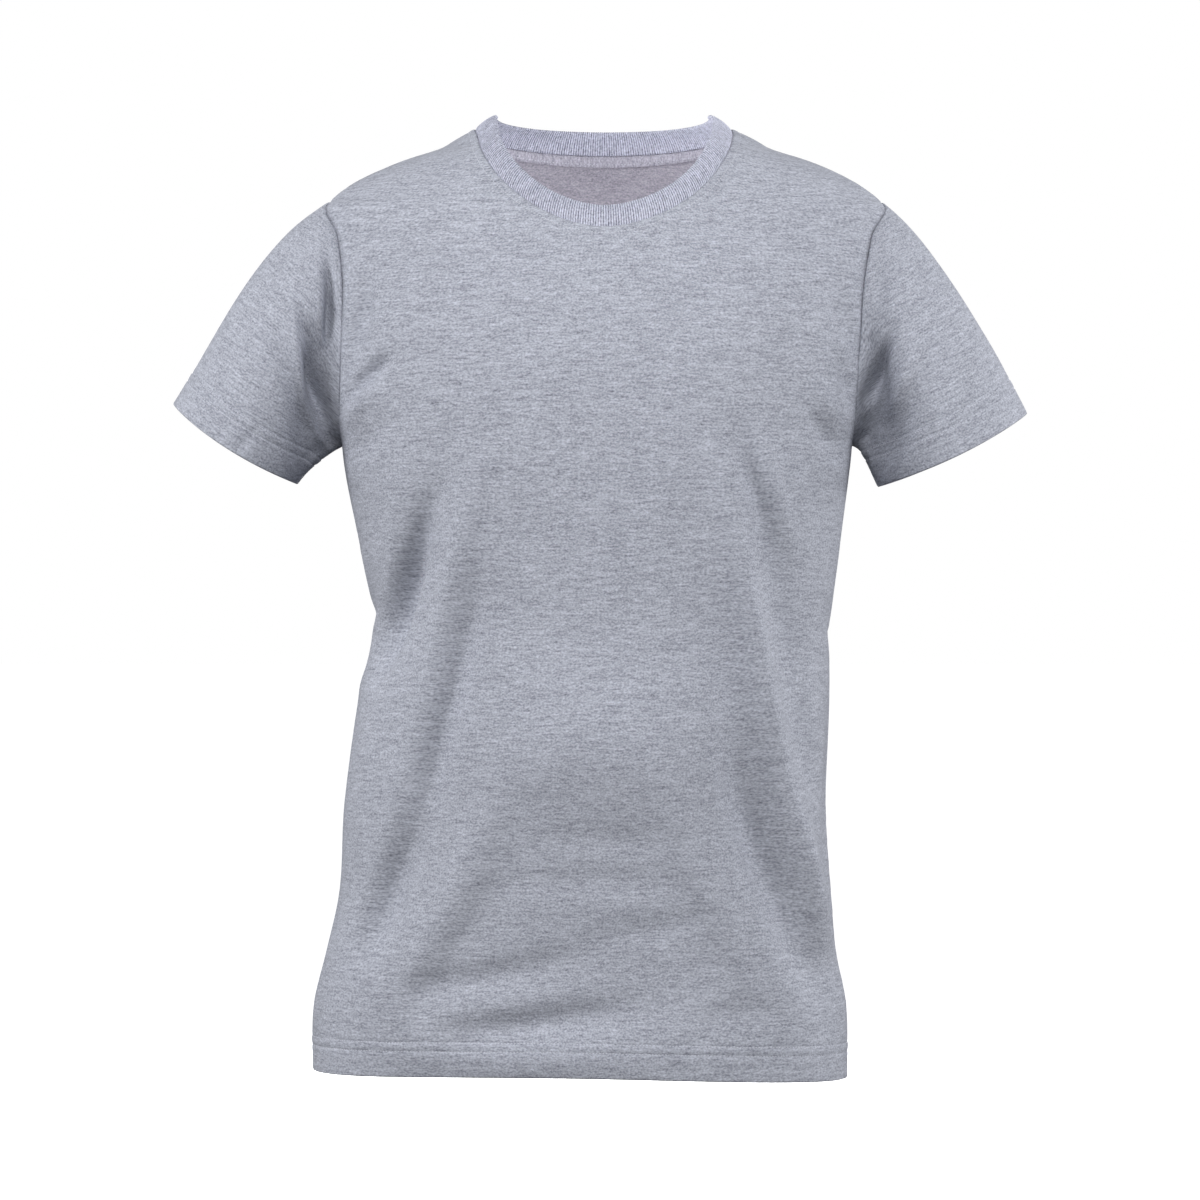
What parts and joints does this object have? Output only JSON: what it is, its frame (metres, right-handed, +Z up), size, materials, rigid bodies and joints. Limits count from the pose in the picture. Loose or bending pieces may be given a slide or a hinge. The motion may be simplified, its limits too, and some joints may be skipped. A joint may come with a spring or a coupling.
{
  "type": "crew neck t-shirt",
  "caption": "Short-sleeved t-shirt in heather grey jersey with a rib crew neck, set-in sleeves and turned-up hems, filled out and hollow as it hangs when worn.",
  "frame": {"origin": "midway between the two high shoulder points, where the neck seam crosses the shoulder seams", "axes": "+Z up, -Y to the front of the shirt, +X to the wearer's left"},
  "size_m": [0.6393, 0.2392, 0.7204],
  "materials": {
    "heather_jersey": "heather grey cotton jersey",
    "heather_rib": "heather grey 1x1 rib",
    "neck_tape": "jersey strip, stitched down"
  },
  "bodies": {
    "root": {"front": "heather_jersey", "back": "heather_jersey", "sleeve_left": "heather_jersey", "sleeve_right": "heather_jersey", "collar": "heather_rib", "neck_tape": "neck_tape"}
  },
  "joints": []
}
